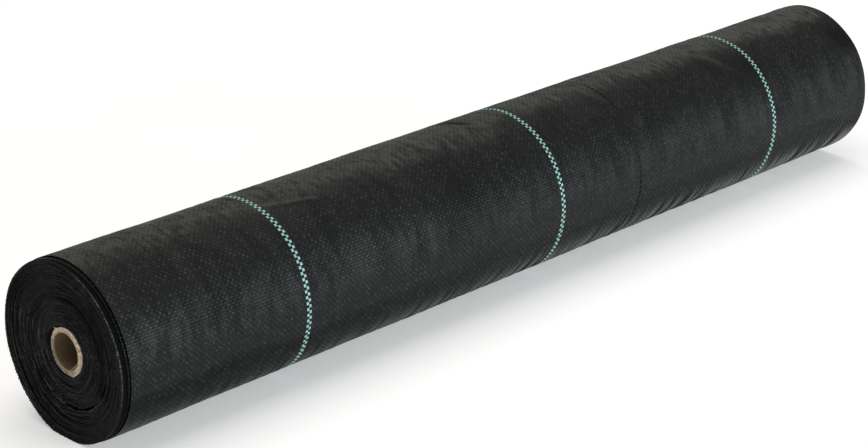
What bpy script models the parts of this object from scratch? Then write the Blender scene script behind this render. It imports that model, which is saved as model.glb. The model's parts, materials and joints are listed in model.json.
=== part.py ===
"""A roll of woven ground-cover fabric on a cardboard core, with a free end that lifts.

The roll lies along X on its flattened underside, at z = 0. The end at -X is the one seen first,
and -Y is the front. The fabric winds over the top towards the back, where its free end lies.
A wound angle is counted from the top of the last turn, positive towards the back, so the turns
further in have negative ones. Each loop here stands for several of the real, thinner wraps.
"""

import math

import bmesh
import bpy
from mathutils import Vector
from mathutils.geometry import intersect_point_line

# Driving dimensions, in metres

clearance = 0.0003

fabric_width = 1.000
roll_radius = 0.0794
turn_thickness = 0.0018
turn_gap = 0.00055

core_bore_radius = 0.0150
core_wall = 0.0060
core_ply_thickness = 0.0009

start_tape_thickness = 0.0004
start_tape_width = 0.0230
start_tape_margin = 0.0200

tracer_pitch = 0.00265
tracer_thickness = 0.0008

rim_stand_out = 0.0036
last_wrap_set_back = 0.0080

loose_opening = 0.0016

base_cut = 0.0005

# Places of the tracer lines, as shares of the fabric's width from its near edge
line_shares = (0.190, 0.513, 0.840)

# Counts and angles of the winding

TURN = math.tau
spokes_per_turn = 36
spoke_step = TURN / spokes_per_turn
first_spoke = spoke_step / 2
front_angle = -TURN / 4
bottom_angle = -TURN / 2
hinge_angle = math.radians(25)
tip_angle = math.radians(105)

# Turns counted in from the free edge: where the last wrap gives way to the rim, and the rim to the body
last_wrap_turns = 1.25
rim_turns = 1.6
rim_end_turns = 2.2
body_turns = 6.0

# Where the winding has come loose, low at the front: between which turns, how many close up on
# each side to make room, and where round the roll it opens, is widest and closes
loose_turns = 13
loose_spread_turns = 8
loose_opens_angle = math.radians(-10)
loose_widest_angle = math.radians(-165)
loose_closes_angle = math.radians(-210)

# Colours, roughness and metallic values

black_fabric = ("black_fabric", (0.013, 0.013, 0.013), 0.55)
green_tape = ("green_tape", (0.110, 0.560, 0.450), 0.45)
cardboard = ("cardboard", (0.430, 0.330, 0.230), 0.90)
clear_tape = ("clear_tape", (0.620, 0.560, 0.400), 0.35)

core_outer_radius = core_bore_radius + core_wall


def turns_and_pitch():
    """As many whole loops as fit between the start tape and the roll's radius, and their pitch."""
    seat = core_outer_radius + clearance + start_tape_thickness + clearance
    build = roll_radius + turn_gap - seat
    past_front = (tip_angle - front_angle) / TURN
    loops = math.floor(build / (turn_thickness + turn_gap) + past_front - 1)
    return loops, build / (loops + 1 - past_front)


loops, pitch = turns_and_pitch()
wall = pitch - turn_gap
start_angle = tip_angle - loops * TURN
tape_width = tracer_pitch - clearance
channel_width = 2 * tracer_pitch + clearance
channel_depth = tracer_thickness + clearance
channel_start = hinge_angle - TURN - clearance / roll_radius


def smooth_share(value, low, high):
    """How far value has gone from low to high, eased at both ends."""
    share = min(max((value - low) / (high - low), 0), 1)
    return share * share * (3 - 2 * share)


def turns_in(angle):
    """Turns from here out to the web's free edge."""
    return (tip_angle - angle) / TURN


def looseness(angle):
    """How far the web stands out of its place, or further in if negative, beside the loose turn."""
    turns_from = loose_turns - turns_in(angle)
    near_share = max(1 - abs(turns_from) / loose_spread_turns, 0)
    whole_turns = math.floor(turns_in(angle))
    round_roll = angle + whole_turns * TURN
    if round_roll > 0:
        round_roll -= TURN
    opened_share = 1 - smooth_share(round_roll, loose_widest_angle, loose_opens_angle)
    still_open_share = smooth_share(round_roll, loose_closes_angle, loose_widest_angle)
    return math.copysign(loose_opening / 2 * near_share * opened_share * still_open_share, turns_from)


def outer_face(angle):
    """Radius of the web's outer face, which is the roll's radius at the front of the last turn."""
    return roll_radius + pitch * (angle - front_angle) / TURN + looseness(angle)


def inner_face(angle):
    return outer_face(angle) - wall


lowest_radius = outer_face(bottom_angle + spoke_step / 2) * math.cos(spoke_step / 2)
roll_axis = Vector((0, 0, lowest_radius - base_cut))


def near_edge(angle):
    """X of the web's near edge: the body of the roll, the rim that stands out, the last wrap set back."""
    turns = turns_in(angle)
    rim = -(fabric_width + last_wrap_set_back) / 2
    body = rim + rim_stand_out
    last_wrap = rim + last_wrap_set_back
    from_body = body + (rim - body) * (1 - smooth_share(turns, rim_end_turns, body_turns))
    return last_wrap + (from_body - last_wrap) * smooth_share(turns, last_wrap_turns, rim_turns)


core_near = near_edge(start_angle)
core_far = core_near + fabric_width


def place(angle, radius, x=0):
    """The point at this wound angle, this far from the roll's axis."""
    return roll_axis + Vector((x, radius * math.sin(angle), radius * math.cos(angle)))


def spokes(start, stop):
    """Wound angles from start to stop, on the same spokes in each turn, so that turns stay parallel."""
    too_near_share = 0.1
    first = math.floor((start - first_spoke) / spoke_step + too_near_share) + 1
    last = math.ceil((stop - first_spoke) / spoke_step - too_near_share) - 1
    return [start, *(first_spoke + spoke_step * k for k in range(first, last + 1)), stop]


def new_material(look):
    name, colour, roughness = look
    material = bpy.data.materials.get(name)
    if material is None:
        material = bpy.data.materials.new(name)
        material.use_nodes = True
        shader = material.node_tree.nodes["Principled BSDF"]
        shader.inputs["Base Color"].default_value = (*colour, 1)
        shader.inputs["Roughness"].default_value = roughness
        shader.inputs["Metallic"].default_value = 0
    return material


def new_piece(name, shape, origin, look):
    """Turns a bmesh in world places into an object whose own origin is at the given point."""
    bmesh.ops.recalc_face_normals(shape, faces=shape.faces)
    bmesh.ops.translate(shape, verts=shape.verts, vec=-origin)
    mesh = bpy.data.meshes.new(name)
    shape.to_mesh(mesh)
    shape.free()
    mesh.shade_smooth()
    mesh.set_sharp_from_angle(angle=math.radians(30))
    piece = bpy.data.objects.new(name, mesh)
    piece.location = origin
    bpy.context.scene.collection.objects.link(piece)
    if look is not None:
        mesh.materials.append(new_material(look))
    return piece


def new_ring(shape, angle, profile):
    """The points of a profile, which is a list of (radius, x), at one wound angle."""
    return [shape.verts.new(place(angle, radius, x)) for radius, x in profile]


def join_rings(shape, rings, closed=False):
    """Side faces between rings of equal point counts, all the way round if closed."""
    after = rings[1:] + rings[:1] if closed else rings[1:]
    for ring, next_ring in zip(rings, after):
        for k in range(len(ring)):
            shape.faces.new((ring[k - 1], ring[k], next_ring[k], next_ring[k - 1]))


def swept(angles, profile_at, closed=False):
    """A closed body through the profiles at these angles, as a ring or with both ends capped."""
    shape = bmesh.new()
    rings = [new_ring(shape, angle, profile_at(angle)) for angle in angles]
    join_rings(shape, rings, closed)
    if not closed:
        shape.faces.new(rings[0])
        shape.faces.new(rings[-1])
    return shape


def corners(outer, inner, near, far):
    return [(outer, near), (outer, far), (inner, far), (inner, near)]


def tube(name, outer, inner, look):
    """A round wall along the whole core."""
    angles = [first_spoke + spoke_step * k for k in range(spokes_per_turn)]
    profile = corners(outer, inner, core_near, core_far)
    return new_piece(name, swept(angles, lambda angle: profile, closed=True), roll_axis, look)


def tape_insets():
    """Near edges of each line's two green tapes, counted from the web's near edge."""
    for share in line_shares:
        middle = share * fabric_width
        yield [middle + side * tracer_pitch / 2 - tape_width / 2 for side in (-1, 1)]


def plain_web(angle):
    near = near_edge(angle)
    return corners(outer_face(angle), inner_face(angle), near, near + fabric_width)


def channelled_web(angle):
    """The web's profile with a channel in its outer face for each pair of green tapes."""
    outer_near, *others = plain_web(angle)
    outer, near = outer_near
    floor = outer - channel_depth
    channels = []
    for insets in tape_insets():
        low = near + insets[0] - clearance
        high = low + channel_width
        channels += [(outer, low), (floor, low), (floor, high), (outer, high)]
    return [outer_near, *channels, *others]


def cut(piece, cutter):
    modifier = piece.modifiers.new(cutter.name, "BOOLEAN")
    modifier.operation = "DIFFERENCE"
    modifier.object = cutter


def make_base_cutter():
    """A block under z = 0, wider and longer than the roll, that flattens its underside."""
    shape = bmesh.new()
    bmesh.ops.create_cube(shape, size=1)
    size = Vector((fabric_width * 2, roll_radius * 2, roll_radius))
    bmesh.ops.scale(shape, verts=shape.verts, vec=size)
    bmesh.ops.translate(shape, verts=shape.verts, vec=Vector((0, 0, -roll_radius / 2)))
    cutter = new_piece("base_cutter", shape, Vector((0, 0, 0)), None)
    cutter.hide_render = True
    cutter.display_type = "WIRE"
    return cutter


def make_core():
    """A wound paper tube: the body of its wall between an outer and an inner ply."""
    outer_ply_inside = core_outer_radius - core_ply_thickness
    inner_ply_outside = core_bore_radius + core_ply_thickness
    tube("core_outer_ply", core_outer_radius, outer_ply_inside, cardboard)
    tube("core_body", outer_ply_inside - clearance, inner_ply_outside + clearance, cardboard)
    tube("core_inner_ply", inner_ply_outside, core_bore_radius, cardboard)


def make_start_tape():
    """Double-sided tape between the core and the web's first edge."""
    inside = core_outer_radius + clearance
    outside = inside + start_tape_thickness
    profile = corners(outside, inside, core_near + start_tape_margin, core_far - start_tape_margin)
    angles = spokes(start_angle, start_angle + start_tape_width / outside)
    new_piece("start_tape", swept(angles, lambda angle: profile), roll_axis, clear_tape)


def make_tracers(part, start, stop, origin):
    """Two green tapes side by side in each line, flush with the web's outer face."""
    pieces = []
    for number, insets in enumerate(tape_insets(), start=1):
        for letter, inset in zip("ab", insets):

            def tape(angle, inset=inset):
                outer = outer_face(angle)
                near = near_edge(angle) + inset
                return corners(outer, outer - tracer_thickness, near, near + tape_width)

            name = f"{part}_tracer_{number}{letter}"
            pieces.append(new_piece(name, swept(spokes(start, stop), tape), origin, green_tape))
    return pieces


def wound_web():
    """The web from the core to the hinge line, with channels for the green tapes in its last turn."""
    shape = bmesh.new()
    plain = [new_ring(shape, angle, plain_web(angle)) for angle in spokes(start_angle, channel_start)[:-1]]
    channelled = [new_ring(shape, angle, channelled_web(angle)) for angle in spokes(channel_start, hinge_angle)]
    join_rings(shape, plain)
    join_rings(shape, channelled)
    shape.faces.new(plain[0])
    shape.faces.new(channelled[-1])

    # Where the channels begin, each has an end wall, and the plain outer face stops at their brims
    before, first = plain[-1], channelled[0]
    outer_near, *channels = first[:-3]
    outer_far, inner_far, inner_near = first[-3:]
    end_walls = [channels[k:k + 4] for k in range(0, len(channels), 4)]
    brims = [point for corner in end_walls for point in (corner[0], corner[3])]
    shape.faces.new((before[1], before[0], outer_near, *brims, outer_far))
    shape.faces.new((before[1], outer_far, inner_far, before[2]))
    shape.faces.new((before[2], inner_far, inner_near, before[3]))
    shape.faces.new((before[3], inner_near, outer_near, before[0]))
    for end_wall in end_walls:
        shape.faces.new(end_wall)
    return shape


def make_wound_fabric(base_cutter):
    """The web on the core and the green tapes on its last turn, flattened where the roll rests."""
    cut(new_piece("wound_fabric", wound_web(), roll_axis, black_fabric), base_cutter)
    for tape in make_tracers("roll", hinge_angle - TURN, hinge_angle, roll_axis):
        cut(tape, base_cutter)


def make_free_end():
    """The last stretch of the web, which swings on the line where it leaves the roll."""
    hinge = place(hinge_angle, outer_face(hinge_angle))
    start = hinge_angle + clearance / roll_radius
    new_piece("fabric_free_end", swept(spokes(start, tip_angle), channelled_web), hinge, black_fabric)
    make_tracers("free_end", start, tip_angle, hinge)
    print("hinge line at", *(round(value, 6) for value in hinge))


def least_gap_between_turns():
    """Least distance from points on the web's outer face to the inner face of the turn above it."""
    least = pitch
    for angle in spokes(start_angle, hinge_angle - TURN):
        for share in (0, 0.5):
            low = place(angle, outer_face(angle))
            high = place(angle + spoke_step, outer_face(angle + spoke_step))
            point = low.lerp(high, share)
            for k in (-1, 0, 1):
                above = [angle + TURN + spoke_step * (k + side) for side in (0, 1)]
                a, b = (place(value, inner_face(value)) for value in above)
                _, along = intersect_point_line(point, a, b)
                nearest = a.lerp(b, min(max(along, 0), 1))
                least = min(least, (nearest - point).length)
    return least


def main():
    for piece in list(bpy.data.objects):
        bpy.data.objects.remove(piece, do_unlink=True)
    make_core()
    make_start_tape()
    make_wound_fabric(make_base_cutter())
    make_free_end()
    print("loops", loops, "pitch", round(pitch, 6), "wall", round(wall, 6), "axis height", round(roll_axis.z, 6))
    print("least gap between turns in mm:", round(least_gap_between_turns() * 1000, 3))


main()
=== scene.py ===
"""The looks of a roll of woven ground-cover fabric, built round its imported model.

The roll lies along X on z = 0. The end at -X is the one seen first, and -Y is the front. A wound
angle is counted from the top of the last turn, positive towards the back, so the turns further in
have negative ones. On the web itself u runs across it from its near edge and v runs along it.
"""

import json
import math

import bmesh
import bpy
import numpy as np
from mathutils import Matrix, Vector


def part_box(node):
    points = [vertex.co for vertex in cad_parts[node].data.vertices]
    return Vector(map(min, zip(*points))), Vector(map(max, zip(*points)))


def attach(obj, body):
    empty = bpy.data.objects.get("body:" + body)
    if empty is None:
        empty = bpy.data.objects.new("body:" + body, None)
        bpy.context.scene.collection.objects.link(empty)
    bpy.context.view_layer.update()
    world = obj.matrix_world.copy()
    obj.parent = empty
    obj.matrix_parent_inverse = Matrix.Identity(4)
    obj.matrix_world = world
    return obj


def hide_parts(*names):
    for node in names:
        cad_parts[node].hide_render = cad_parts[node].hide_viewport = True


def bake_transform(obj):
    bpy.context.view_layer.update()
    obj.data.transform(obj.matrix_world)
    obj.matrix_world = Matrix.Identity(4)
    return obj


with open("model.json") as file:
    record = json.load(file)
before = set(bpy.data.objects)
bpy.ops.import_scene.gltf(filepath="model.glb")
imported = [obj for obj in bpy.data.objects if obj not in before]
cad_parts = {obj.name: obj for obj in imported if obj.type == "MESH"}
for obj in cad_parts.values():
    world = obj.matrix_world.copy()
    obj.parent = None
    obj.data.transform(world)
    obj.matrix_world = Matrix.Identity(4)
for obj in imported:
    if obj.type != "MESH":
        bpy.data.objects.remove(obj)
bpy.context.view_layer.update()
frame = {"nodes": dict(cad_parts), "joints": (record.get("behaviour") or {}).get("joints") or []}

TURN = math.tau

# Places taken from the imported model

core_low, core_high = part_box("core_outer_ply")
free_low, free_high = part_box("fabric_free_end")
hinge = Vector(frame["joints"][0]["pos_m"])

axis_y = (core_low.y + core_high.y) / 2
axis_z = (core_low.z + core_high.z) / 2
core_near, core_far = core_low.x, core_high.x
half_length = (core_far - core_near) / 2
web_width = free_high.x - free_low.x
last_wrap_near = free_low.x
rim_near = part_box("wound_fabric")[0].x

# The roll and its web, in metres

roll_radius = 0.0794
tip_angle = math.radians(105)
front_angle = math.radians(-90)
hinge_angle = math.atan2(hinge.y - axis_y, hinge.z - axis_z)

web_turns = 150
web_thickness = 0.00024
outer_thickness = 0.00034
seat_radius = 0.0218
strip_split_turns = 61

# The last turns hang loose: their slack, by turns in from the free edge. It gathers on the upper front
# and evens out towards the core.
slack_by_turn = ((0.0, 0.0), (0.55, 0.0), (1.0, 0.0008), (1.6, 0.0009), (2.1, 0.0014), (150, 0.0014))
slack_middle = -64
slack_reach = 94
slack_elsewhere = 0.04
slack_at_core = 0.28

# Where the roll has settled on the floor its sides bulge: round angle, half width and depth
bulges = ((160, 26, 0.0017), (95, 42, 0.0008), (-150, 22, -0.0002))

core_radius = 0.021
core_bore_radius = 0.015
ply_thickness = 0.0009

tape_pitch = 0.00265
tape_phase = tape_pitch / 4
cell_angle = tape_pitch / roll_radius
# Where the green lines lie, as shares of the width, and where one tape is missing
line_shares = (0.19, 0.513, 0.84)
missing_tape_inset = 0.6262

# From this turn in, what shows of the web is frayed and takes the cut edge's darker look, as painted shade
cut_look_turn = 1.95


# Winding


def risen(value, low, high):
    """How far value has gone from low to high, eased at both ends."""
    share = np.clip((value - low) / (high - low), 0, 1)
    return share * share * (3 - 2 * share)


def waves(seed, *coordinates, count=24):
    """Smooth noise, mostly from -1 to 1: a sum of waves with seeded directions and phases."""
    rng = np.random.default_rng(seed)
    total = 0
    for _ in range(count):
        direction = rng.normal(size=len(coordinates))
        phase = rng.uniform(0, TURN)
        total = total + np.cos(sum(d * c for d, c in zip(direction, coordinates)) + phase)
    return total / math.sqrt(count)


def turns_in(angle):
    """Turns from here out to the web's free edge."""
    return (tip_angle - angle) / TURN


def eased(value, steps):
    """A value read off a list of pairs, eased from each to the next."""
    total = steps[0][1]
    for (low, before), (high, after) in zip(steps, steps[1:]):
        total = total + (after - before) * risen(value, low, high)
    return total


def degrees_from(angle, degrees):
    """Degrees round the roll from a place to this wound angle, from -180 to 180."""
    return (np.degrees(angle) - degrees + 180) % 360 - 180


def hump(away, width):
    """1 at a place, and less away from it, in a bell as wide as this."""
    return np.exp(-((away / width) ** 2))


def slack_depth(turns):
    """How far the turns lie in from the outermost because the last ones are loose."""
    aside = np.abs(degrees_from(tip_angle - turns * TURN, slack_middle))
    gathered = (1 + np.cos(np.pi * np.minimum(aside / slack_reach, 1))) / 2
    here = slack_elsewhere + (1 - slack_elsewhere) * gathered
    share = slack_at_core + (here - slack_at_core) * (1 - turns / web_turns)
    return eased(turns, slack_by_turn) * share


def bulge(angle):
    """How far the settled roll stands out low down on both sides."""
    depth_share = 1 - turns_in(angle) / web_turns
    total = sum(depth * hump(degrees_from(angle, at), width) for at, width, depth in bulges)
    return total * depth_share**2


front_turns = turns_in(front_angle)
slack_at_seat = slack_by_turn[-1][1] * slack_at_core
wound_depth = roll_radius + slack_depth(front_turns) - slack_at_seat - seat_radius - web_thickness
fine_pitch = wound_depth / (web_turns - front_turns)
tip_radius = roll_radius + slack_depth(front_turns) + fine_pitch * front_turns

# Where the winding has come loose: the turn, how wide it opens, over how many turns it closes up,
# and where round the roll it opens, is widest and closes
loosened = (
    (76, 0.0022, 20, -20, -168, -255),
    (34, 0.0006, 10, 20, -60, -150),
    (112, 0.0005, 10, -80, -190, -250),
)


def looseness(angle):
    """How far the web stands out of its place, in if negative, beside the loosened turns."""
    turns = turns_in(angle)
    round_roll = np.degrees(angle + np.floor(turns) * TURN)
    total = np.zeros_like(turns)
    for turn, opening, spread, opens, widest, closes in loosened:
        here = np.where(round_roll > opens + 40, round_roll - 360, round_roll)
        near_share = np.clip(1 - np.abs(turns - turn) / spread, 0, 1)
        opened_share = 1 - risen(here, widest, opens)
        still_open_share = risen(here, closes, widest)
        side = np.where(turns < turn, 1, -1)
        ragged = 1 + 0.4 * waves(16 + turn, here / 2.4)
        total = total + side * opening / 2 * near_share * opened_share * still_open_share * ragged
    return total


def web_radius(angle):
    """Radius of the web's outer face."""
    turns = turns_in(angle)
    return tip_radius - slack_depth(turns) - fine_pitch * turns + looseness(angle) + bulge(angle)


# How far the edges of the outer wraps are set back from the rim, by turns in from the free edge
set_back_by_turn = (
    (0.0, last_wrap_near - rim_near),
    (0.74, last_wrap_near - rim_near),
    (1.02, 0.0004),
    (1.14, 0.0004),
    (1.42, 0.0056),
    (1.66, 0.0056),
    (1.98, 0.0002),
    (2.3, 0.0),
)
rim_turns = 5
body_turns = 36
body_set_back = core_near - rim_near
dish_turn, dish_depth = 74, 0.0024
rim_crest_turn = 8
crack_turn = loosened[0][0]

# Where the web was pulled aside: near the top, at each of these distances from the near edge, and low
top_drifts = ((0.19, -0.0022), (0.513, -0.0009), (0.84, 0.001))
low_drift = 0.0035


def near_edge(angle):
    """X of the web's near edge: the last wraps set back, the rim that stands out, the dished body."""
    turns = turns_in(angle)
    set_back = eased(turns, set_back_by_turn)
    body = risen(turns, rim_turns, body_turns)
    set_back = set_back + (body_set_back - set_back) * body
    along = angle * web_radius(angle)
    loose_share = 0.35 + 0.65 * risen(turns, 1, 6)
    wander = 0.00022 * waves(3, along / 0.055) + 0.0001 * waves(4, along / 0.009)
    round_x, round_y = np.cos(angle), np.sin(angle)
    group = 0.00026 * waves(5, turns / 1.4, round_x * 1.2, round_y * 1.2)
    deep_group = 0.00075 * waves(6, turns / 4, round_x * 0.9, round_y * 0.9)
    proud = np.maximum(waves(7, turns / 0.35, round_x * 1.5, round_y * 1.5) - 1.1, 0)
    face_y, face_z = web_radius(angle) * round_y, web_radius(angle) * round_x
    rough = 0.00015 * waves(8, face_y / 0.0042, face_z / 0.0042, turns / 1.3, count=36)
    deep_share = risen(turns, 3, 12)
    uneven = group + deep_group + rough - 0.0008 * proud
    dish = dish_depth * hump(turns - dish_turn, 34)
    rim = -0.0004 * hump(turns - rim_crest_turn, 2.5)
    low_share = risen(np.abs(degrees_from(angle, -185)), 75, 35)
    ragged = 0.8 + 0.7 * waves(9, along / 0.004)
    lip = -0.0011 * hump(turns - crack_turn + 0.9, 1.1) * low_share * ragged
    return rim_near + set_back + dish + rim + lip + loose_share * wander + uneven * deep_share


def drift(inset, angle):
    """How far the web's tapes run aside of their columns, as they were pulled when it was wound."""
    upper = risen(angle, math.radians(-60), math.radians(5))
    lower = risen(-angle, math.radians(112), math.radians(155))
    pulled = sum(far * hump(inset - at, 0.16) for at, far in top_drifts)
    inside = risen(inset, 0, 0.1) * risen(web_width - inset, 0, 0.1)
    return (upper * pulled + lower * low_drift) * inside


# How gently the roll flattens onto the floor
floor_softness = 0.0003


def place(x, angle, radius):
    """Points at these wound angles and radii, with what would reach below the floor flattened on it."""
    y = axis_y + radius * np.sin(angle)
    z = axis_z + radius * np.cos(angle)
    settled = (z + np.sqrt(z * z + 4 * floor_softness**2)) / 2
    return np.stack(np.broadcast_arrays(x, y, settled), axis=-1)


# Relief of the outer wrap

ridge_height = 0.00055


def ridge_share(x, angle):
    """Tension ridges that run round the roll: how far up one each place lies, 0.5 where there is none."""
    front = np.degrees(-angle)
    low_share = risen(front, 96, 132) * (0.55 + 0.45 * risen(x, -0.3, -0.05))
    far_share = 0.45 * risen(x, 0.38, 0.43) * risen(np.abs(front - 42), 26, 12)
    top_share = 0.3 * risen(front, 40, 10)
    along = angle * roll_radius
    fine = waves(11, x / 0.0014, along / 0.045)
    broad = waves(12, x / 0.0032, along / 0.075)
    narrow = np.tanh(1.1 * (0.95 * fine + 0.7 * broad))
    return 0.5 + 0.5 * (low_share + far_share + top_share) * narrow


def swells(x, angle):
    """Broad unevenness of the turns below."""
    along = angle * roll_radius
    slow = waves(13, x / 0.042, along / 0.019)
    quick = waves(14, x / 0.013, along / 0.012)
    return 0.0003 + 0.00036 * slow + 0.00009 * quick


# Creases in the outer wrap: from and to, each as x in metres and degrees round to the front, with
# the crease's half width and its height, negative if it is a furrow
creases = (
    ((-0.3716, 1), (-0.299, 13), 0.0016, 0.0003),
    ((-0.2978, 14.5), (-0.255, 21), 0.002, 0.0004),
    ((-0.296, 18), (-0.246, 25), 0.0022, -0.0003),
    ((-0.247, -7), (-0.104, 1), 0.0014, 0.00022),
    ((-0.0535, -20), (-0.034, -1), 0.0026, -0.00075),
    ((0.2716, 0), (0.309, 34), 0.004, 0.00026),
    ((0.264, 6), (0.29, 36), 0.004, -0.00022),
    ((0.11, 5), (0.125, 24), 0.004, 0.00016),
)
# Dents: x, degrees round to the front, radius and depth
dents = (
    (0.49, 40, 0.016, 0.0006),
    (0.148, 49, 0.007, -0.0001),
    (0.3, 12, 0.012, -0.0002),
    (0.27, 26, 0.014, 0.0002),
    (0.33, 36, 0.03, 0.0003),
    (-0.1, 60, 0.03, 0.0003),
)


def marks(x, angle):
    """The creases and dents that the photograph shows."""
    along = -angle * roll_radius
    total = np.zeros_like(x)
    for (x0, turn0), (x1, turn1), width, height in creases:
        y0, y1 = math.radians(turn0) * roll_radius, math.radians(turn1) * roll_radius
        length = math.hypot(x1 - x0, y1 - y0)
        forward = ((x - x0) * (x1 - x0) + (along - y0) * (y1 - y0)) / length
        aside = ((x - x0) * (y1 - y0) - (along - y0) * (x1 - x0)) / length
        past_end = np.maximum(np.maximum(-forward, forward - length), 0)
        total = total + height * hump(aside, width) * hump(past_end, 0.006)
    for x0, turn0, radius, depth in dents:
        y0 = math.radians(turn0) * roll_radius
        total = total - depth * np.exp(-((x - x0) ** 2 + (along - y0) ** 2) / radius**2)
    return total


missing_tape_half = 0.0011
missing_tape_depth = 0.00012
edge_flare, edge_flare_reach = 0.0003, 0.004
far_bell, far_bell_reach = 0.0008, 0.012
deepest_dip = 0.00012


def relief(inset, x, angle):
    """How far the outer wrap's face stands out of its place."""
    missing = np.exp(-(((inset - missing_tape_inset) / missing_tape_half) ** 4))
    ridged = ridge_height * (ridge_share(x, angle) - 0.5)
    total = ridged + swells(x, angle) + marks(x, angle) - missing_tape_depth * missing
    edge = np.exp(-inset / edge_flare_reach) + np.exp(-(web_width - inset) / edge_flare_reach)
    flare = edge * edge_flare * (0.5 + waves(15, angle * 5.0))
    bell_share = 0.35 + 0.65 * risen(-angle, 0, 1)
    bell = far_bell * bell_share * hump(web_width - inset, far_bell_reach)
    above_dip = (total + deepest_dip) / deepest_dip
    soft = deepest_dip * (np.logaddexp(0, 2 * above_dip) / 2 - 1)
    return soft + np.maximum(flare, -0.0001) + bell


# Meshes

column_spacing, row_spacing = 0.0027, 0.0021
sharp_angle = math.radians(40)


def add_object(name, data):
    made = bpy.data.objects.new(name, data)
    bpy.context.scene.collection.objects.link(made)
    return made


def new_piece(name, points, faces, materials, face_materials=None, web=None, relief_and_wear=None):
    """A closed mesh in world places, shaded smooth but for its sharp edges."""
    mesh = bpy.data.meshes.new(name)
    mesh.from_pydata([tuple(p) for p in points], [], faces)
    for layer_name, values in (("web", web), ("relief_and_wear", relief_and_wear)):
        if values is None:
            continue
        layer = mesh.uv_layers.new(name=layer_name)
        corner = np.empty(len(mesh.loops), dtype=np.int32)
        mesh.loops.foreach_get("vertex_index", corner)
        layer.data.foreach_set("uv", np.asarray(values, dtype=np.float32)[corner].ravel())
    for material in materials:
        mesh.materials.append(material)
    if face_materials is not None:
        mesh.polygons.foreach_set("material_index", np.asarray(face_materials, dtype=np.int32))
    shape = bmesh.new()
    shape.from_mesh(mesh)
    bmesh.ops.recalc_face_normals(shape, faces=shape.faces)
    shape.to_mesh(mesh)
    shape.free()
    mesh.shade_smooth()
    mesh.set_sharp_from_angle(angle=sharp_angle)
    return add_object(name, mesh)


def web_place(inset, angle):
    """A point of the web in its own coordinates, in metres."""
    return np.stack(np.broadcast_arrays(inset + tape_phase, angle * roll_radius), axis=-1)


def sheet_columns():
    """Insets from the near edge, evenly spaced, with more beside the missing tape and at the edges."""
    even = np.linspace(0, web_width, round(web_width / column_spacing) + 1)
    beside = missing_tape_inset + missing_tape_half * np.array([-1.6, -1.1, -0.8, 0, 0.8, 1.1, 1.6])
    edges = np.array([0.0008, 0.0016, web_width - 0.0016, web_width - 0.0008])
    keep = even[np.abs(even - missing_tape_inset) > missing_tape_half * 1.8]
    return np.unique(np.concatenate([keep, beside, edges]))


def joined(a, b, count):
    """The faces between two closed loops of this many points, by their first points."""
    return [(a + k, a + (k + 1) % count, b + (k + 1) % count, b + k) for k in range(count)]


def capped_tube(total, count):
    """The faces of a tube through loops of count points, total in all, closed at both ends."""
    starts = range(0, total, count)
    faces = [face for a in starts[:-1] for face in joined(a, a + count, count)]
    return faces + [tuple(range(a, a + count)) for a in (0, starts[-1])]


def outer_sheet(name, start, stop, materials):
    """A stretch of the outer wrap: a finely modelled outer face over a plain inner one, as one body."""
    rows = round((stop - start) * roll_radius / row_spacing) + 1
    # Each row of points runs across the outer face, and comes back by the inner face's two edges
    insets = [*sheet_columns(), web_width, 0]
    count = len(insets)
    angle, inset = np.meshgrid(np.linspace(start, stop, rows), insets, indexing="ij")
    outer = np.arange(count) < count - 2
    x = near_edge(angle) + inset + drift(inset, angle)
    radius = web_radius(angle) + np.where(outer, relief(inset, x, angle), -outer_thickness)
    points = place(x, angle, radius).reshape(-1, 3)
    web = web_place(inset, angle).reshape(-1, 2)
    # The material paints highlights on the ridges, and highlights and shade on the creases, from these, each
    # as 0.5 where there is none
    creased = 0.5 + np.clip(marks(x, angle) / 0.0008, -0.5, 0.5)
    shown = [np.where(outer, share, 0.5) for share in (ridge_share(x, angle), creased)]
    relief_and_wear = np.stack(shown, axis=-1).reshape(-1, 2)
    kinds = ([0] * (count - 3) + [1, 0, 1]) * (rows - 1) + [1, 1]
    return new_piece(name, points, capped_tube(len(points), count), materials, kinds, web, relief_and_wear)


def closed_strip(name, angles, corners, insets, materials, kinds=None):
    """A closed strip with four corners to each wound angle, at these places and insets across the web."""
    points = np.stack(corners, axis=1).reshape(-1, 3)
    web = np.stack([web_place(inset, angles) for inset in insets], axis=1).reshape(-1, 2)
    return new_piece(name, points, capped_tube(len(points), 4), materials, kinds, web)


def wound_strip(name, first_turn, last_turn, steps_per_turn, materials):
    """Many turns of the web, as one body from its inner end to its outer one."""
    rows = round((last_turn - first_turn) * steps_per_turn) + 1
    angles = np.linspace(tip_angle - last_turn * TURN, tip_angle - first_turn * TURN, rows)
    near, outside = near_edge(angles), web_radius(angles)
    far, inside = near + web_width, outside - web_thickness
    ring = ((near, outside), (far, outside), (far, inside), (near, inside))
    corners = [place(x, angles, radius) for x, radius in ring]
    # Further in than cut_look_turn the outer faces take the cut edge's darker look, as painted shade
    kinds = []
    for angle in angles[:-1]:
        kinds += [int(turns_in(angle) > cut_look_turn), 1, 0, 1]
    insets = (0, web_width, web_width, 0)
    return closed_strip(name, angles, corners, insets, materials, kinds + [1, 1])


# Materials

fabric_black = (0.0008, 0.0008, 0.0008)
painted_shade_black = (0.001, 0.001, 0.001)
dust_and_sheen_reach = 0.65
# Added along the web, so that the rows of tapes count up from above zero
rows_before = 60000
liner_seam_pitch = 0.075


def sign(operation):
    """A method that gives the node for a plain sign between values."""
    return lambda value, *others: value.graph.math(operation, value, *others)


class Value:
    """A number or colour in a material, with the plain signs of sums."""

    def __init__(self, graph, socket):
        self.graph, self.socket = graph, socket

    def __rsub__(self, other):
        return self.graph.math("SUBTRACT", other, self)

    __add__, __sub__, __mul__ = sign("ADD"), sign("SUBTRACT"), sign("MULTIPLY")
    __truediv__, __pow__, __abs__ = sign("DIVIDE"), sign("POWER"), sign("ABSOLUTE")


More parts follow.
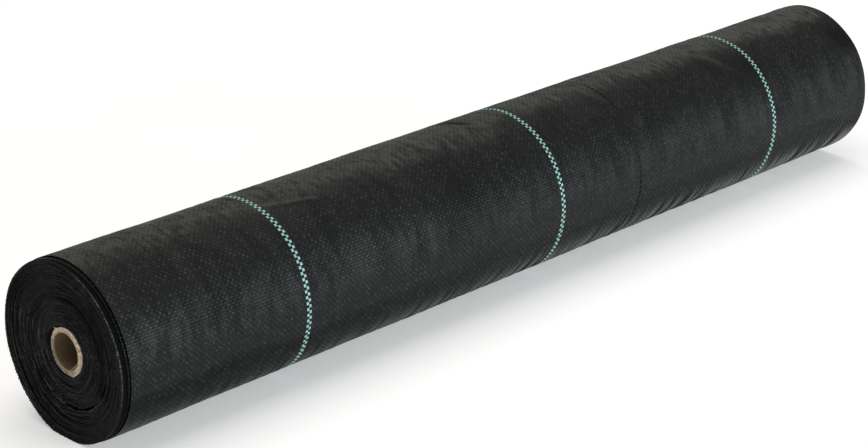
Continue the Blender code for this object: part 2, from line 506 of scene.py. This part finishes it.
class Graph:
    """A short way to write a material's nodes."""

    def __init__(self, name):
        self.material = bpy.data.materials.new(name)
        self.material.use_nodes = True
        self.tree = self.material.node_tree
        self.shader = self.tree.nodes["Principled BSDF"]

    def feed(self, socket, value):
        if isinstance(value, Value):
            self.tree.links.new(value.socket, socket)
        else:
            socket.default_value = value

    def node(self, kind, inputs=(), output=0, **settings):
        made = self.tree.nodes.new(kind)
        for key, value in settings.items():
            setattr(made, key, value)
        for key, value in dict(inputs).items():
            self.feed(made.inputs[key], value)
        return Value(self, made.outputs[output])

    def math(self, operation, *values):
        return self.node("ShaderNodeMath", dict(enumerate(values)), operation=operation)

    def parts(self, vector):
        """The three parts of a vector."""
        node = self.node("ShaderNodeSeparateXYZ", {0: vector}).socket.node
        return [Value(self, socket) for socket in node.outputs]

    def spread(self, value, low, high, to_low=0, to_high=1, smooth=False):
        kind = "SMOOTHSTEP" if smooth else "LINEAR"
        inputs = {0: value, 1: low, 2: high, 3: to_low, 4: to_high}
        return self.node("ShaderNodeMapRange", inputs, interpolation_type=kind)

    def rise(self, value, low, high):
        return self.spread(value, low, high, smooth=True)

    def fall(self, value, low, high):
        return self.spread(value, low, high, 1, 0, smooth=True)

    def mix(self, factor, a, b):
        """A number from a to b."""
        return self.node("ShaderNodeMix", {0: factor, 2: a, 3: b}, data_type="FLOAT")

    def tint(self, factor, a, b):
        """A colour from a to b."""
        a, b = (c if isinstance(c, Value) else (*c, 1) for c in (a, b))
        return self.node("ShaderNodeMix", {0: factor, 6: a, 7: b}, output=2, data_type="RGBA")

    def point(self, x, y, z=0):
        return self.node("ShaderNodeCombineXYZ", {0: x, 1: y, 2: z})

    def layer(self, name):
        return self.node("ShaderNodeUVMap", uv_map=name)

    def object_place(self):
        return self.node("ShaderNodeTexCoord", output=3)

    def from_axis(self, where):
        """A place as its x and as how far it lies behind and above the roll's axis."""
        x, y, z = self.parts(where)
        return x, y - axis_y, z - axis_z

    def speckle(self, where, output=0):
        """A random number that is the same all over each whole step of where."""
        return self.node("ShaderNodeTexWhiteNoise", {"Vector": where}, output=output, noise_dimensions="3D")

    def cloud(self, where, scale, detail=2, roughness=0.5):
        inputs = {"Vector": where, "Scale": scale, "Detail": detail, "Roughness": roughness}
        return self.node("ShaderNodeTexNoise", inputs)

    def finish(self, colour, roughness, bump=(), specular=0.5):
        """Feeds the shader. A bump is a strength, a distance and a height."""
        if bump:
            inputs = dict(zip(("Strength", "Distance", "Height"), bump))
            self.feed(self.shader.inputs["Normal"], self.node("ShaderNodeBump", inputs))
        inputs = {"Base Color": colour, "Roughness": roughness, "Specular IOR Level": specular}
        for key, value in inputs.items():
            self.feed(self.shader.inputs[key], value)
        return self.material


def woven_black():
    """Black flat tapes in plain weave, satin, each with its own tone and lie, dusty along the top, with
    painted sheen, highlights and shade.
    """
    g = Graph("woven_black")
    inset, round_place, _ = g.parts(g.layer("web"))
    across = inset / tape_pitch
    along = round_place / tape_pitch + rows_before
    column, row = g.math("FLOOR", across), g.math("FLOOR", along)
    in_column = across - column - 0.5
    in_row = along - row - 0.5
    weft_up = g.math("MODULO", column + row, 2)
    warp_up = 1 - weft_up

    # Each tape is arched along its float and rounded at its sides
    lengthways = g.mix(weft_up, in_row, in_column)
    sideways = g.mix(weft_up, in_column, in_row)
    arch = 1 - abs(lengthways) ** 2.2 * 3.2
    side = g.fall(abs(sideways), 0.4, 0.5)
    body = arch * side

    cell_x, cell_y, cell_z = g.parts(g.speckle(g.point(column, row), output=1))
    tilt_a = (cell_x - 0.5) * in_column
    tilt_b = (cell_y - 0.5) * in_row
    tilt = (tilt_a + tilt_b) * 1.25

    tape_tone = g.speckle(g.point(g.mix(weft_up, column, row), weft_up, 3))
    streak_place = g.point(
        g.mix(weft_up, across * 9, along * 9),
        g.mix(weft_up, along * 0.6, across * 0.6),
        tape_tone,
    )
    streaks = g.cloud(streak_place, 1, 1)
    height = body * 0.8 + tilt + streaks * 0.25

    # Along the missing tape's column the crossing tapes cover a gap, which shows least on the upper front
    front = round_place / -roll_radius
    closed = g.rise(front, 0.4, 0.7) * g.fall(front, 1, 1.8)
    missing_column = math.floor((missing_tape_inset + tape_phase) / tape_pitch)
    in_missing = g.math("COMPARE", column, float(missing_column), 0.5)
    hole = in_missing * (1 - weft_up * 0.75) * (0.95 - closed * 0.85)
    height = height - hole * 0.6

    # Dust and a painted sheen lie on the top of the roll, in patches with an uneven edge, thickest towards
    # the far end
    patches = g.cloud(g.point(across, along * 1.5), 0.022, 4, 0.6)
    fine_patches = g.cloud(g.point(across * 1.6, along * 0.55, 7), 0.35, 3, 0.7)
    off_top = abs(front + g.spread(patches, 0.35, 0.65, -0.08, 0.32))
    dust_and_sheen = (
        g.rise(off_top, dust_and_sheen_reach, 0)
        * g.spread(patches, 0.35, 0.65, 0.55, 1.3)
        * g.spread(fine_patches, 0.37, 0.63, 0.15, 1.7)
        * g.spread(tape_tone, 0, 1, 0.8, 1.2)
        * g.spread(inset, 0, 0.9, 1.06, 1.45)
    )
    # It lies on the backs of the tapes, and thinner on those that run across
    backs = g.spread(body, 0, 1, 0.45, 1) * g.mix(weft_up, 1, 0.78)
    dust_and_sheen = g.math("MINIMUM", dust_and_sheen, 1) * backs

    # The front is patchy: a thin film of dust and painted sheen here, strongest in the sheen's band, duller
    # tapes there
    mottle = g.cloud(g.point(across * 2.2, along * 0.5, 11), 0.08, 5, 0.75)
    on_front = g.fall(front, 1.35, 1.65)
    film_and_sheen = (
        g.spread(mottle, 0.46, 0.66, 0, 0.19)
        * on_front
        * g.spread(front, 0.8, 1.15, 0.3, 1, smooth=True)
        * g.spread(inset, 0, 0.5, 1.5, 0.8)
    )
    duller = g.spread(mottle, 0.54, 0.38, 0, 0.18) * on_front

    # Low on the front the ridges are painted pale along their crests, as highlights, with fine wrinkles
    # between them
    ridged, creased, _ = g.parts(g.layer("relief_and_wear"))
    low = (
        g.rise(front, 1.92, 2.56)
        * g.spread(front, 2.9, 3.3, 1, 0)
        * g.spread(inset, 0.3, 0.8, 0.78, 2.1)
    )
    wrinkles = g.cloud(g.point(inset * 420, round_place * 14, 4), 1, 3, 0.55)
    ridge_level = ridged * 0.6 + g.spread(wrinkles, 0.3, 0.7, 0, 0.4)
    crest_highlight = g.math("MINIMUM", g.spread(ridge_level, 0.32, 0.74) * low, 1) * backs
    furrow = g.spread(ridge_level, 0.48, 0.28) * g.math("MINIMUM", low, 1)
    height = height + wrinkles * 2 * low

    # The tapes that run round the roll are painted paler where they pass over the others, as highlights,
    # some the most
    sparkle = cell_z**3 * 0.51
    spot = g.math("MAXIMUM", body, 0) * warp_up * (sparkle + 0.025)
    # One tape is paler in its own colour
    pale_tape = g.math("GREATER_THAN", tape_tone, 0.955) * warp_up
    spot = spot + pale_tape * 0.13

    tone = g.spread(tape_tone, 0, 1, 0.65, 1.35) + g.spread(patches, 0.35, 0.65, -0.25, 0.35)
    colour = g.tint(tone, fabric_black, (0.0042, 0.0042, 0.0041))
    colour = g.tint(spot, colour, (0.04, 0.0405, 0.04))
    towards_far = g.spread(inset, 0.45, 0.95)
    dust_and_sheen_colour = g.tint(towards_far, (0.058, 0.0597, 0.0504), (0.07, 0.0721, 0.0609))
    colour = g.tint(g.math("MAXIMUM", dust_and_sheen, film_and_sheen), colour, dust_and_sheen_colour)
    crest_highlight_colour = g.tint(towards_far, (0.082, 0.0841, 0.0721), (0.111, 0.1136, 0.0975))
    colour = g.tint(crest_highlight, colour, crest_highlight_colour)
    # Raised creases and dents are painted paler as highlights, sunk ones painted black as their shade
    colour = g.tint(g.spread(creased, 0.52, 1, 0, 0.55), colour, (0.06, 0.062, 0.055))
    colour = g.tint(g.spread(creased, 0.48, 0, 0, 0.95), colour, fabric_black)
    # The gap is painted near black, as the shade in it
    colour = g.tint(hole, colour, (0.0002, 0.0002, 0.0002))

    # Below the front the fabric is dull, down to where the ridges catch the light of the floor
    upper_border = front + g.spread(patches, 0.35, 0.65, -0.1, 0.1)
    lower_border = front - g.spread(inset, 0.1, 0.75, 0.14, 0)
    dull = (
        g.rise(upper_border, 1.66, 1.88)
        * g.spread(lower_border, 1.98, 2.28, 1, 0.1, smooth=True)
        * g.spread(inset, 0.1, 0.45, 0.92, 0.4)
    )
    rough = g.spread(tape_tone, 0, 1, 0.36, 0.48) + g.mix(weft_up, -0.03, 0.06)
    rough = g.mix(dull, rough, 0.9) + duller + furrow * 0.42 + (1 - side) * 0.3 + dust_and_sheen * 0.12
    rough = g.mix(hole, rough, 1)
    show = g.spread(g.cloud(g.point(across, along, 20), 0.05, 3, 0.6), 0.32, 0.62, 0.55, 1)
    show = show * g.spread(dust_and_sheen, 0, 1, 1, 0.6)
    return g.finish(colour, rough, (show, 0.0005, height), specular=0.13)


def cut_edge():
    """The web's cut edges: the same black, duller, with the pale flecks and streaks of split tapes, and
    painted light and shade.
    """
    g = Graph("cut_edge")
    where = g.object_place()
    x, aside, above = g.from_axis(where)
    radius = g.math("SQRT", aside * aside + above * above)
    turned = g.math("ARCTAN2", aside, above)
    round_x, round_y = g.math("COSINE", turned), g.math("SINE", turned)
    wound = g.parts(g.layer("web"))[1] / (TURN * roll_radius)

    def arcs(turns_thick, length, seed, detail=2):
        """Streaks along the wound turns: about so many turns thick, and so long in radians."""
        scaled = zip((wound, round_x, round_y), (turns_thick, length, length))
        here = g.point(*(part / size for part, size in scaled))
        moved = g.node("ShaderNodeVectorMath", {0: here, 1: (seed, 3 * seed, 0)}, operation="ADD")
        return g.cloud(moved, 1, detail, 0.6)

    def between(angle, half, soft):
        """1 within half a width of an angle from the top, all in degrees, fading to 0."""
        near = g.math("COSINE", turned - math.radians(angle))
        return g.spread(near, math.cos(math.radians(half + soft)), math.cos(math.radians(half)), smooth=True)

    def ring(at, half, soft):
        """1 within half a width of a radius, fading to 0."""
        return g.fall(abs(radius - at), half, half + soft)

    fine_arcs, zones = arcs(1.8, 0.32, 5, 3), arcs(6, 0.8, 9)
    flecks = g.cloud(where, 800, 2, 0.7)
    patches = g.cloud(where, 40, 3, 0.6)
    share = (
        g.spread(fine_arcs, 0.52, 0.72) * g.spread(zones, 0.4, 0.64, 0.06, 0.75)
        + g.spread(zones, 0.38, 0.64, 0, 0.1)
        + g.spread(flecks, 0.56, 0.7) * g.spread(patches, 0.42, 0.62, 0.12, 1)
    )
    # The end is painted palest low at the back, as light falling there, and the same all round beside the
    # core
    painted_light_side = g.spread(g.math("COSINE", turned - math.radians(118)), -1, 1, 0.35, 2.1)
    pale = g.mix(g.spread(radius, 0.026, 0.044), 0.95, painted_light_side)
    share = share * g.spread(radius, 0.022, 0.04, 1.1, 1) * pale

    # Broken pale lines painted on two crests at the upper front as highlights, the torn lip of the gap, and
    # painted glints behind
    broken = g.spread(g.cloud(where, 420, 2, 0.7), 0.47, 0.62, 0, 1.7)
    outer_crest = ring(0.0772, 0.0003, 0.0008) * between(-45, 52, 26) * 0.42
    inner_crest = ring(0.0572, 0.0003, 0.0012) * between(-45, 34, 20) * 0.3
    foremost = g.spread(x, rim_near + 0.001, rim_near + 0.0018, 1, 0)
    crest_highlight = (outer_crest + inner_crest) * broken * foremost
    from_lip = abs(wound + (crack_turn - 0.7 - tip_angle / TURN))
    torn = g.spread(from_lip, 1.2, 2.4, 1, 0) * between(-182, 34, 30)
    torn = torn * g.spread(patches, 0.42, 0.54, 0.3, 2.4)
    glints = ring(0.0612, 0.003, 0.0015) * between(90, 9, 6) * g.spread(flecks, 0.56, 0.66, 0, 1.6)
    for mark in (crest_highlight, torn, glints):
        share = g.math("MAXIMUM", share, mark)

    # The rim turn is in the dark behind its edge
    hidden = g.spread(x, rim_near + 0.0005, rim_near + 0.0016) * g.spread(radius, 0.0758, 0.0764)
    share = share * (1 - hidden)
    colour = g.tint(g.math("MINIMUM", share, 2.2), (0.0062, 0.0066, 0.0066), (0.11, 0.115, 0.112))
    colour = g.tint(hidden, colour, painted_shade_black)
    # It is painted darker at the upper back and low at the front, as shade
    shaded = g.math("MAXIMUM", between(28, 24, 34), between(-138, 16, 30))
    colour = g.tint(shaded * g.spread(radius, 0.028, 0.04, 0.25, 0.55), colour, painted_shade_black)
    rough = g.math("MAXIMUM", g.spread(flecks, 0.3, 0.7, 0.7, 0.5), hidden)
    height = flecks * 0.7 + fine_arcs
    return g.finish(colour, rough, (0.8, 0.0005, height), specular=0.1)


def split_tape():
    """Torn ends of tapes, pale where their film has split."""
    g = Graph("split_tape")
    fibres = g.cloud(g.object_place(), 900, 2, 0.7)
    colour = g.tint(g.spread(fibres, 0.4, 0.62), (0.01, 0.0105, 0.01), (0.15, 0.154, 0.146))
    rough = g.spread(fibres, 0.3, 0.7, 0.65, 0.5)
    return g.finish(colour, rough, (0.5, 0.0002, fibres))


def green_tape():
    """Mint-green marker tape, satin, with fine lengthwise streaks."""
    g = Graph("green_marker_tape")
    inset, round_place, _ = g.parts(g.layer("web"))
    streaks = g.cloud(g.point(inset * 4000, round_place * 60), 1, 2)
    shade = g.cloud(g.point(0, round_place * 220), 1, 2)
    share = streaks * 0.5 + shade * 0.5
    colour = g.tint(g.spread(share, 0.3, 0.7), (0.135, 0.29, 0.262), (0.27, 0.435, 0.398))
    rough = g.spread(streaks, 0.3, 0.7, 0.36, 0.5)
    return g.finish(colour, rough, (0.4, 0.0001, streaks))


def cut_board():
    """Grey-brown board, matt, with fibres and soft stains."""
    g = Graph("cut_board")
    where = g.object_place()
    x, y, z = g.parts(where)
    fibres = g.cloud(g.point(x * 0.35, y, z), 1400, 4, 0.65)
    stains = g.cloud(where, 290, 3, 0.6)
    share = fibres * 0.35 + stains * 0.65
    colour = g.tint(g.spread(share, 0.4, 0.58), (0.25, 0.185, 0.13), (0.74, 0.59, 0.45))
    # The board is darker low at the back
    _, aside, above = g.from_axis(where)
    low_back = aside * 0.62 - above * 0.78
    low_back_darkening = g.rise(low_back, 0, 0.017) * g.spread(stains, 0.35, 0.65, 0.9, 0.55)
    colour = g.tint(low_back_darkening, colour, (0.15, 0.108, 0.07))
    rough = g.spread(fibres, 0.3, 0.7, 0.95, 0.82)
    return g.finish(colour, rough, (0.6, 0.00025, fibres), specular=0.2)


def liner_paper():
    """The paper inside the bore, painted darker away from its ends as shade, with the seam of the strip it
    was wound from.
    """
    g = Graph("liner_paper")
    where = g.object_place()
    x, aside, above = g.from_axis(where)
    turned = g.math("ARCTAN2", aside, above) / TURN
    wound = turned + x * (1 / liner_seam_pitch)
    from_seam = abs(g.math("FRACT", wound) - 0.5)
    seam = g.fall(from_seam, 0, 0.02)
    fibres = g.cloud(where, 1500, 4, 0.65)
    # Away from its ends the paper is painted darker, as the shade deep in the bore
    inward = half_length - abs(x)
    painted_bore_shade = g.rise(inward, -0.0002, 0.0016)
    dark = g.tint(painted_bore_shade, (0.22, 0.165, 0.11), (0.105, 0.072, 0.042))
    light = g.tint(painted_bore_shade, (0.4, 0.32, 0.23), (0.185, 0.13, 0.078))
    colour = g.tint(g.spread(fibres, 0.35, 0.65), dark, light)
    colour = g.tint(seam * 0.7, colour, (0.09, 0.06, 0.04))
    rough = g.spread(fibres, 0.3, 0.7, 0.95, 0.85)
    height = fibres * 0.4 - seam
    return g.finish(colour, rough, (0.5, 0.0002, height), specular=0.2)


def clear_tape():
    """Yellowish double-sided tape."""
    g = Graph("double_sided_tape")
    stains = g.cloud(g.object_place(), 260, 3)
    colour = g.tint(stains, (0.55, 0.48, 0.33), (0.66, 0.6, 0.45))
    rough = g.spread(stains, 0.3, 0.7, 0.3, 0.45)
    return g.finish(colour, rough, (0.2, 0.0001, stains))


# Floor, lights and camera

floor_half = 30
floor_glow = 0.35
sky_colour, sky_strength = (1, 0.99, 0.97, 1), 0.42


def aimed(direction):
    """The rotation that turns a lamp or the camera to look along a direction."""
    return Vector(direction).to_track_quat("-Z", "Y").to_euler()


def make_floor():
    g = Graph("pale_floor")
    grain = g.cloud(g.object_place(), 3, 4)
    g.shader.inputs["Emission Color"].default_value = (1, 1, 1, 1)
    g.shader.inputs["Emission Strength"].default_value = floor_glow
    colour = g.tint(grain, (0.74, 0.74, 0.74), (0.78, 0.78, 0.78))
    material = g.finish(colour, g.spread(grain, 0, 1, 0.8, 0.9), specular=0.1)
    corners = [(x * floor_half, y * floor_half, 0) for x, y in ((-1, -1), (1, -1), (1, 1), (-1, 1))]
    mesh = bpy.data.meshes.new("floor")
    mesh.from_pydata(corners, [], [(0, 1, 2, 3)])
    mesh.materials.append(material)
    add_object("floor", mesh)


def softbox(name, watts, colour, size, at, towards):
    light = bpy.data.lights.new(name, "AREA")
    light.shape = "RECTANGLE"
    light.size, light.size_y = size
    light.energy = watts
    light.color = colour
    lamp = add_object(name, light)
    lamp.location = at
    lamp.rotation_euler = aimed(Vector(towards) - Vector(at))
    lamp.visible_camera = False


def make_lights():
    world = bpy.data.worlds.new("studio")
    world.use_nodes = True
    background = world.node_tree.nodes["Background"]
    background.inputs["Color"].default_value = sky_colour
    background.inputs["Strength"].default_value = sky_strength
    bpy.context.scene.world = world
    softbox("overhead", 44, (1, 0.98, 0.94), (3, 2.4), at=(0, 0.2, 2.6), towards=(0, 0, 0))
    softbox("low_front", 480, (0.8, 0.94, 1), (4.7, 2.07), at=(2.2, -6.12, 0.69), towards=(0, 0, 0.08))


camera_place = (-1.4952, -1.4086, 0.8729)
camera_forward = (0.6587, 0.6535, -0.373)
focal_pixels = 2300
photo_width_pixels = 868
sensor_width_mm = 36


def make_camera():
    data = bpy.data.cameras.new("camera")
    data.sensor_width = sensor_width_mm
    data.lens = focal_pixels / photo_width_pixels * sensor_width_mm
    data.clip_end = 100
    camera = add_object("camera", data)
    camera.location = camera_place
    camera.rotation_euler = aimed(camera_forward)
    bpy.context.scene.camera = camera


# Pieces


def along_web(angle):
    """The way the web runs at a wound angle, towards its free edge."""
    return np.array([0, math.cos(angle), -math.sin(angle)])


def outward(angle):
    """Straight away from the roll's axis at a wound angle."""
    return np.array([0, math.sin(angle), math.cos(angle)])


def dress(piece, body, node):
    """Puts a piece on its body in place of a node, or for the free end leaves it in world places."""
    if body == "free_end":
        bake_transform(piece)
    else:
        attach(piece, body)
    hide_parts(node)


def dress_web(piece, body):
    node = {"roll": "wound_fabric", "free_end": "fabric_free_end"}[body]
    dress(piece, body, node)


# The core

core_steps = 240
wall_plies = 8
ply_groove = 0.0001
ply_gap = 0.00004
ply_unevenness = 0.0001
# A ply's rounded edge: how far back its corner lies, how far in, and where the flat of its end begins
corner_back, corner_in, flat_in = 0.00004, 0.00003, 0.00012
end_stations = (0, 0.0012, 0.003, 0.008, 0.03)

# Where the inner ply has come away from the wall and lies straight, and the torn nub and the burr, all
# in degrees round the core
lifted_ply_middle, lifted_ply_half = -141, 25
torn_nub_middle, burr_middle = 36, -158
# How much of the lift is left, by how far in from the end
lift_by_inset = ((0, 1.0), (0.006, 0.97), (0.02, 0.75), (0.04, 0.4), (0.07, 0.1), (0.1, 0.0))
# The bore is worn wider at its mouth, most at the back: angle, greatest depth and reach
worn_angle, worn_depth, worn_reach = math.radians(105), 0.0025, 0.018


def core_ring(name, profile_at, material):
    """A closed ring round the roll's axis, from a function that gives (x, radius) pairs at an angle."""
    points, faces = [], []
    for step in range(core_steps):
        angle = TURN * step / core_steps
        profile = profile_at(angle)
        count = len(profile)
        points += [np.array([x, axis_y, axis_z]) + radius * outward(angle) for x, radius in profile]
        faces += joined(count * step, count * ((step + 1) % core_steps), count)
    return new_piece(name, points, faces, [material])


def ripple(seed, angle, size):
    """A small seeded unevenness that closes up round the core."""
    return size * float(waves(seed, 2.5 * math.cos(angle), 2.5 * math.sin(angle), count=10))


def lifted(angle):
    """How far the inner ply stands in from the bore."""
    aside = abs(degrees_from(angle, lifted_ply_middle))
    if aside > lifted_ply_half:
        return 0.0
    return core_bore_radius * (1 - math.cos(math.radians(lifted_ply_half)) / math.cos(math.radians(aside)))


def worn(angle):
    """How far the mouth of the bore is worn back at the end seen first."""
    return worn_depth * (1 + math.cos(angle - worn_angle)) / 2


def wall_profile(angle):
    """The wall's section: its plies end unevenly, with a groove between each and the next."""
    outer = core_radius - ply_thickness - ply_gap
    inner = core_bore_radius + ply_thickness + ply_gap
    in_shift = -0.45 * lifted(angle)
    ply = (outer - inner) / wall_plies
    near, far = [], []
    for k in range(wall_plies):
        for side, end, out in ((1, core_near, near), (-1, core_far, far)):
            pressed = in_shift + (worn(angle) if side > 0 else 0)
            top = outer - k * ply + pressed * (k / wall_plies) ** 2
            low = outer - (k + 1) * ply + pressed * ((k + 1) / wall_plies) ** 2
            uneven = ripple(40 + k + 20 * (side > 0), angle, ply_unevenness)
            x = end + side * (ply_unevenness + uneven)
            out += [(x + side * corner_back, top - corner_in), (x, top - flat_in)]
            out += [(x, low + flat_in), (x + side * corner_back, low + corner_in)]
            if k < wall_plies - 1:
                out.append((x + side * ply_groove, low))
    return near + far[::-1]


def outer_ply_profile(angle):
    """The outer ply, with its torn nub and the burr of the saw at the near end."""
    nub = hump(degrees_from(angle, torn_nub_middle), 1.9)
    burr = hump(degrees_from(angle, burr_middle), 8)
    inner = core_radius - ply_thickness
    near = core_near + ripple(60, angle, 0.00012) - 0.0012 * nub - 0.0002 * burr
    section = [(near + 0.00005, inner), (near, inner + 0.00008)]
    for station in end_stations:
        out = (0.0015 * nub + 0.0012 * burr) * hump(station, 0.0013)
        section.append((near + 0.00006 + station, core_radius + out - 0.00006 * (station == 0)))
    far = core_far - ripple(61, angle, 0.00012)
    return section + [(far - 0.0001, core_radius), (far, core_radius - 0.0001), (far, inner)]


def liner_profile(angle):
    """The inner ply. Near the end seen first it has come away over a short arc."""
    near = core_near + 0.0001 + ripple(70, angle, 0.00015)
    far = core_far - 0.0001 - ripple(71, angle, 0.00015)
    thickness = ply_thickness - 0.00035 * min(lifted(angle) / 0.0004, 1)
    inside, outside = [], []
    for station, share in lift_by_inset:
        relief_and_wear = worn(angle) * hump(station, worn_reach)
        radius = core_bore_radius - share * lifted(angle) + relief_and_wear
        inside.append((near + station, radius))
        outside.append((near + station, radius + (thickness if share else ply_thickness)))
    inside.append((far, core_bore_radius))
    outside.append((far, core_bore_radius + ply_thickness))
    return inside + outside[::-1]


def make_core():
    board = cut_board()
    for name, profile, material, node in (
        ("core_wall_plies", wall_profile, board, "core_body"),
        ("core_torn_outer_ply", outer_ply_profile, board, "core_outer_ply"),
        ("core_liner", liner_profile, liner_paper(), "core_inner_ply"),
    ):
        dress(core_ring(name, profile, material), "roll", node)
    tape = frame["nodes"]["start_tape"]
    tape.data.materials.clear()
    tape.data.materials.append(clear_tape())


# Cut ends of single tapes, standing out of the web's edges, each rooted a little way inside its edge

stub_thickness = 0.0001
stub_root = 0.0006
# How far below the web's face they start, at its edges and at its cut end
stub_sink, cut_stub_sink = 0.00004, 0.00006
stub_faces = capped_tube(8, 4)
# What no corner goes below, in x and y far out of the way
lowest_point = (-9, -9, 0.00003)
# Torn ones beside the gap low in the end seen first: how many, how many turns from it, and their reach
torn_tapes = ((16, 0, -216, -176), (9, 1, -212, -184), (10, -1, -172, -146))


def stub(place_of, side_of, out_of, up_of, half_width, length, lean, curl):
    """The eight corners of one tape end: it leans aside along the edge and curls up off the face."""
    corners = []
    for share in (0, 1):
        tip = place_of + out_of * length * share + side_of * lean * share + up_of * curl * share
        narrow = half_width * (1 - 0.45 * share)
        for side, level in ((-1, 0), (1, 0), (1, 1), (-1, 1)):
            corners.append(tip + side_of * side * narrow - up_of * level * stub_thickness)
    return corners


def fringe(name, stubs, material):
    """One piece of many tape ends."""
    points, faces = [], []
    for corners in stubs:
        base = len(points)
        points += [np.maximum(corner, lowest_point) for corner in corners]
        faces += [tuple(base + k for k in face) for face in stub_faces]
    return new_piece(name, points, faces, [material], web=np.zeros((len(points), 2)))


def edge_stubs(rng, angles, far, low_length, high_length):
    """Tape ends along an edge of the web at these wound angles."""
    out = 1 if far else -1
    stubs = []
    for angle, edge, radius in zip(angles, near_edge(angles), web_radius(angles)):
        x = edge + (web_width if far else 0) - out * stub_root
        spot = place(x, angle, radius - stub_sink)
        length = stub_root + rng.uniform(low_length, high_length) * rng.uniform(0.2, 1)
        lean = rng.normal(0, 0.35) * length
        curl = -abs(rng.normal(0, 0.12)) * length - 0.00005
        half_width = rng.uniform(0.0003, 0.0011)
        ways = along_web(angle), np.array([out, 0, 0]), outward(angle)
        stubs.append(stub(spot, *ways, half_width, length, lean, curl))
    return stubs


def cut_end_stubs(rng):
    """Tape ends along the web's cut end."""
    angle = tip_angle - stub_root / roll_radius
    ways = np.array([1, 0, 0]), along_web(angle), outward(angle)
    stubs = []
    for inset in np.arange(tape_pitch / 4, web_width, tape_pitch):
        spot = place(near_edge(angle) + inset, angle, web_radius(angle) - cut_stub_sink)
        length = stub_root + rng.uniform(0.0002, 0.0022)
        lean, curl = rng.normal(0, 0.12) * length, -abs(rng.normal(0, 0.05)) * length
        half_width = rng.uniform(0.0007, 0.0012)
        stubs.append(stub(spot, *ways, half_width, length, lean, curl))
    return stubs


def make_fringes(material):
    """Tape ends on both edges of the roll and the free end, and along the web's cut end."""
    loose = np.arange(hinge_angle - 3 * TURN, hinge_angle, cell_angle)
    free = np.arange(hinge_angle + cell_angle, tip_angle, cell_angle)
    made = {"roll": [], "free_end": []}
    for end, far, seed in (("near", False, 90), ("far", True, 91)):
        rng = np.random.default_rng(seed)
        deep = tip_angle - TURN * rng.uniform(3, web_turns - 2, 900)
        stubs = edge_stubs(rng, loose + rng.normal(0, 0.004, len(loose)), far, 0.0003, 0.0014)
        stubs += edge_stubs(rng, deep, far, 0.0004, 0.0022)
        made["roll"].append(fringe(f"{end}_edge_fringe", stubs, material))
        stubs = edge_stubs(rng, free, far, 0.0003, 0.0012)
        made["free_end"].append(fringe(f"free_{end}_edge_fringe", stubs, material))
    stubs = cut_end_stubs(np.random.default_rng(95))
    made["free_end"].append(fringe("free_cut_edge_fringe", stubs, material))
    for body, pieces in made.items():
        for piece in pieces:
            dress_web(piece, body)
    return made


def make_torn_lip(material):
    rng = np.random.default_rng(97)
    stubs = []
    for count, turns, low, high in torn_tapes:
        angles = np.radians(rng.uniform(low, high, count)) - (crack_turn + turns) * TURN
        stubs += edge_stubs(rng, angles, False, 0.001, 0.0034)
    lip = fringe("torn_lip_fringe", stubs, material)
    dress_web(lip, "roll")
    return lip


# The web and its green tapes


def make_web(fabric, edge, split):
    fringes = make_fringes(edge)
    lip = make_torn_lip(split)
    start = hinge_angle - TURN
    wrap = outer_sheet("outer_wrap", start, hinge_angle, [fabric, edge])
    dress_web(wrap, "roll")
    flat = (web_width, TURN * roll_radius)

    for name, low, high, steps, held_with in (
        ("wound_outer_turns", turns_in(start), strip_split_turns, 240, []),
        ("wound_inner_turns", strip_split_turns, web_turns, 144, [lip]),
    ):
        strip = wound_strip(name, low, high, steps, [fabric, edge])
        dress_web(strip, "roll")
        middle = float(web_radius(tip_angle - (low + high) / 2 * TURN))
        flat = (web_width, (high - low) * TURN * middle)

    free = outer_sheet("free_end", hinge_angle, tip_angle, [fabric, edge])
    dress_web(free, "free_end")
    flat = (web_width, (tip_angle - hinge_angle) * roll_radius)


marker_width = 0.00248
marker_thickness = 0.00008
# How far a tape stands out of the web's face where it floats, how far it dips, and what is added to both
marker_over, marker_under, marker_rise = 0.00014, 0.00034, 0.00003
steps_per_cell = 8


def marker_ribbon(name, column, start, stop, material):
    """A green tape that floats over one black tape and dips under the next, along one column."""
    middle = (column + 0.5) * tape_pitch - tape_phase
    rows = round((stop - start) / cell_angle * steps_per_cell) + 1
    angles = np.linspace(start, stop, rows)
    cell = angles / cell_angle
    row = np.floor(cell)
    floats = np.mod(column + row, 2) < 0.5
    in_cell = 2 * (cell - row) - 1
    arch = 1 - np.abs(in_cell) ** 4
    lift = np.where(floats, marker_over, -marker_under) * arch + marker_rise
    near, aside = near_edge(angles), drift(middle, angles)
    face = web_radius(angles) + relief(middle, near + middle + aside, angles) + lift
    insets, corners = [], []
    for side, level in ((-1, 0), (1, 0), (1, -1), (-1, -1)):
        insets.append(middle + side * marker_width / 2)
        corners.append(place(near + insets[-1] + aside, angles, face + level * marker_thickness))
    return closed_strip(name, angles, corners, insets, [material])


def make_markers(material):
    stretches = (
        ("roll", "roll", hinge_angle - TURN, hinge_angle),
        ("free", "free_end", hinge_angle, tip_angle),
    )
    for number, share in enumerate(line_shares, start=1):
        boundary = round((share * web_width + tape_phase) / tape_pitch)
        for letter, column in (("a", boundary - 1), ("b", boundary)):
            for part, body, start, stop in stretches:
                ribbon = marker_ribbon(f"{part}_marker_{number}{letter}", column, start, stop, material)
                dress(ribbon, body, f"{body}_tracer_{number}{letter}")


def main():
    bpy.context.scene.view_settings.view_transform = "Standard"
    make_camera()
    make_floor()
    make_lights()
    make_core()
    make_web(woven_black(), cut_edge(), split_tape())
    make_markers(green_tape())


main()
